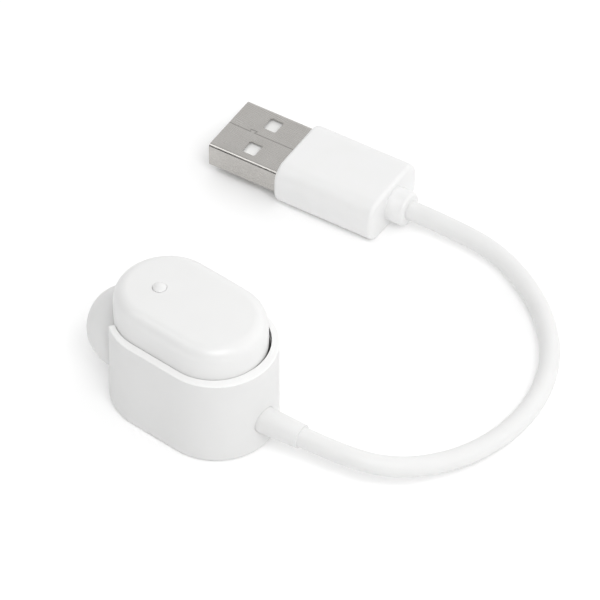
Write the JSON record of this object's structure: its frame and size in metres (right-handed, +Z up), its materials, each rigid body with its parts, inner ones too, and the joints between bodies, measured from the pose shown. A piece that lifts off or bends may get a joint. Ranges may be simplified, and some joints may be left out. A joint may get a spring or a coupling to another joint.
{
  "type": "wireless earpiece in usb charging cradle",
  "caption": "Pebble-shaped single-ear wireless earpiece with soft round ear tip, docked in an oval charging cradle on a short captive USB-A lead.",
  "frame": {"origin": "centre of the cradle's resting face, at the bottom of its foot pad", "axes": "+Z up; +X along the cradle's long axis towards the cable exit, -X towards the ear tip; the plug lies on the +Y side"},
  "size_m": [0.0751, 0.0666, 0.0223],
  "materials": {
    "steel": "satin nickel-plated steel",
    "battery_wrap": "foil pouch",
    "copper_wire": "tinned copper",
    "cable_white": "satin thermoplastic elastomer",
    "black_plastic": "matte",
    "gold_contact": "gold plated",
    "ceramic": "matte ceramic",
    "white_plastic": "satin moulded ABS",
    "circuit_board": "solder mask",
    "nickel": "nickel plated",
    "wire_black": "satin",
    "wire_red": "satin",
    "black_foam": "foam",
    "silicone": "matte silicone",
    "grey_rubber": "matte rubber",
    "white_gloss": "semi-gloss moulded ABS",
    "plug_white": "satin over-moulding",
    "led_lens": "clear epoxy",
    "white_tongue": "matte"
  },
  "bodies": {
    "cradle": {"base_screws": "steel", "cable_jacket": "cable_white", "charge_chip": "black_plastic", "contact_deck": "white_plastic", "cradle_board": "circuit_board", "cradle_cover": "white_plastic", "cradle_magnets": "nickel", "cradle_shell": "white_plastic", "cradle_wire_black": "wire_black", "cradle_wire_red": "wire_red", "foot_pad": "grey_rubber", "plug_collar": "plug_white", "plug_wire_black": "wire_black", "plug_wire_red": "wire_red", "pogo_barrel_back": "gold_contact", "pogo_barrel_front": "gold_contact", "pogo_spring_back": "steel", "pogo_spring_front": "steel", "strain_relief": "cable_white", "usb_contacts": "gold_contact", "usb_grip": "plug_white", "usb_inner_mould": "white_tongue", "usb_shell": "steel", "usb_tongue": "white_tongue"},
    "pod": {"pod_top_shell": "white_gloss", "pod_bottom_shell": "white_gloss", "nozzle": "white_gloss", "nozzle_mesh": "steel", "tact_switch": "black_plastic", "pod_board": "circuit_board", "radio_chip": "black_plastic", "chip_antenna": "ceramic", "status_led": "led_lens", "microphone": "nickel", "battery": "battery_wrap", "battery_leads": "copper_wire", "speaker_driver": "nickel", "driver_gasket": "black_foam", "pod_magnets": "nickel", "charge_pad_front": "gold_contact", "charge_pad_back": "gold_contact"},
    "ear_tip": {"ear_tip": "silicone"},
    "button": {"function_button": "white_gloss"},
    "pogo_front": {"pogo_plunger_front": "gold_contact"},
    "pogo_back": {"pogo_plunger_back": "gold_contact"}
  },
  "joints": [
    {"name": "pod_lift", "type": "slide", "parent": "cradle", "child": "pod", "axis": [0, 0, 1], "range_m": [0, 0.03]},
    {"name": "ear_tip_pull", "type": "slide", "parent": "pod", "child": "ear_tip", "axis": [-1, 0, 0], "range_m": [0, 0.006]},
    {"name": "button_press", "type": "slide", "parent": "pod", "child": "button", "axis": [0, 0, -1], "range_m": [0, 0.00025], "stiffness_N_per_m": 800},
    {"name": "pogo_front_press", "type": "slide", "parent": "cradle", "child": "pogo_front", "axis": [0, 0, -1], "range_m": [0, 0.0004], "stiffness_N_per_m": 200, "deforming": ["pogo_spring_front"]},
    {"name": "pogo_back_press", "type": "slide", "parent": "cradle", "child": "pogo_back", "axis": [0, 0, -1], "range_m": [0, 0.0004], "stiffness_N_per_m": 200, "deforming": ["pogo_spring_back"]}
  ]
}
